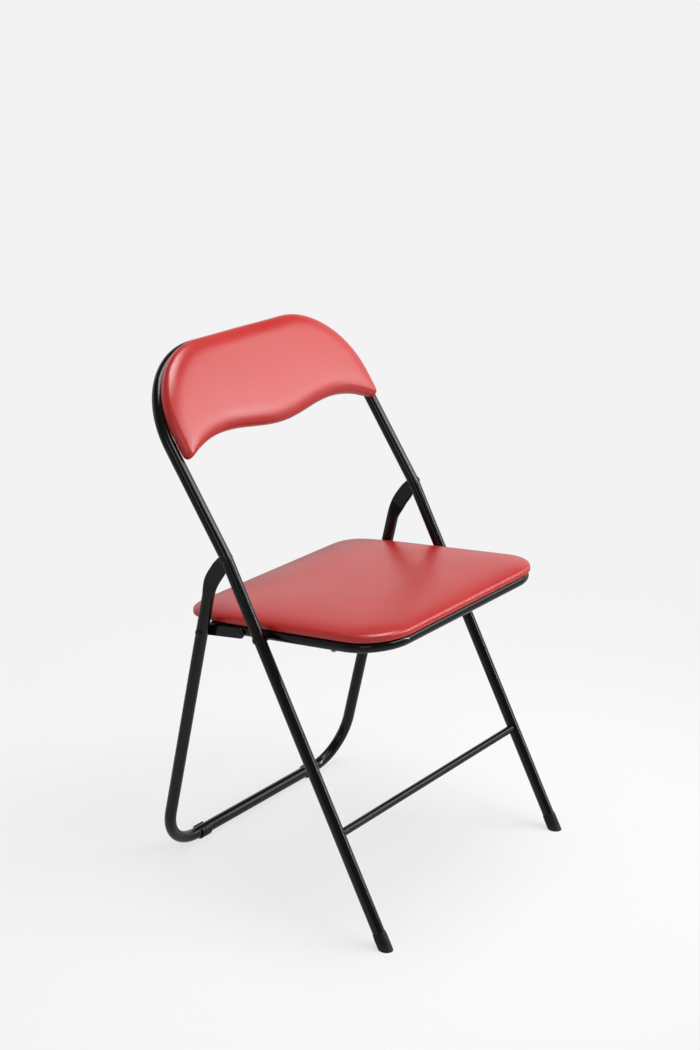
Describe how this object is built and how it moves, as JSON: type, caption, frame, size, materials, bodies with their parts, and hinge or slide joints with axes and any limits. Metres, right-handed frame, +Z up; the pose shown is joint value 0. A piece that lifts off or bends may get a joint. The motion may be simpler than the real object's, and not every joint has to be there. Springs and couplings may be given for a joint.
{
  "type": "padded folding chair",
  "caption": "Steel-tube folding chair with a padded vinyl seat and back; the seat and rear legs fold flat against the front frame on toggle links.",
  "frame": {"origin": "on the floor, midway under the open chair", "axes": "+Z up, +Y towards the back of the chair, +X to the sitter's left"},
  "size_m": [0.4758, 0.483, 0.7988],
  "materials": {
    "black_enamel": "gloss black powder coat",
    "black_rubber": "matt",
    "black_nylon": "satin",
    "zinc_steel": "zinc plated",
    "red_vinyl": "satin vinyl with a fine grain",
    "pale_foam": "open-cell foam",
    "plywood": "raw"
  },
  "bodies": {
    "front_frame": {"front_frame_tube": "black_enamel", "front_stretcher": "black_enamel", "front_foot_cap_left": "black_rubber", "front_foot_cap_right": "black_rubber", "back_tab_low_left": "black_enamel", "back_tab_low_right": "black_enamel", "back_tab_top_left": "black_enamel", "back_tab_top_right": "black_enamel", "back_screw_low_left": "zinc_steel", "back_screw_low_right": "zinc_steel", "back_screw_top_left": "zinc_steel", "back_screw_top_right": "zinc_steel", "back_board": "plywood", "back_foam": "pale_foam", "back_cover": "red_vinyl", "elbow_rivet_left": "black_enamel", "elbow_rivet_right": "black_enamel", "seat_rivet_left": "black_enamel", "seat_rivet_right": "black_enamel", "seat_spacer_left": "zinc_steel", "seat_spacer_right": "zinc_steel"},
    "rear_frame": {"rear_frame_tube": "black_enamel", "rear_glide_left": "black_nylon", "rear_glide_right": "black_nylon", "link_rear_rivet_left": "black_enamel", "link_rear_rivet_right": "black_enamel"},
    "seat": {"seat_frame_tube": "black_enamel", "seat_tube_plug_left": "black_nylon", "seat_tube_plug_right": "black_nylon", "seat_board": "plywood", "seat_foam": "pale_foam", "seat_cover": "red_vinyl", "seat_screw_front_left": "zinc_steel", "seat_screw_front_right": "zinc_steel", "seat_screw_rear_left": "zinc_steel", "seat_screw_rear_right": "zinc_steel"},
    "link_left": {"toggle_link_left": "black_enamel", "link_front_rivet_left": "black_enamel"},
    "link_right": {"toggle_link_right": "black_enamel", "link_front_rivet_right": "black_enamel"}
  },
  "joints": [
    {"name": "rear_fold", "type": "hinge", "parent": "front_frame", "child": "rear_frame", "pos_m": [0, 0.05553, 0.526], "axis": [1, 0, 0], "range_deg": [-41.67, 0]},
    {"name": "seat_fold", "type": "hinge", "parent": "front_frame", "child": "seat", "pos_m": [0, -0.00339, 0.41689], "axis": [1, 0, 0], "range_deg": [0, 68.23]},
    {"name": "link_turn_left", "type": "hinge", "parent": "rear_frame", "child": "link_left", "pos_m": [0.2119, 0.10823, 0.40001], "axis": [1, 0, 0], "range_deg": [-49.19, 0]},
    {"name": "link_turn_right", "type": "hinge", "parent": "rear_frame", "child": "link_right", "pos_m": [-0.2119, 0.10823, 0.40001], "axis": [1, 0, 0], "range_deg": [-49.19, 0]}
  ],
  "couplings": [
    {"joint": "seat_fold", "follows": "rear_fold", "ratio": -1.6377},
    {"joint": "link_turn_left", "follows": "rear_fold", "ratio": 1.1806},
    {"joint": "link_turn_right", "follows": "rear_fold", "ratio": 1.1806}
  ]
}
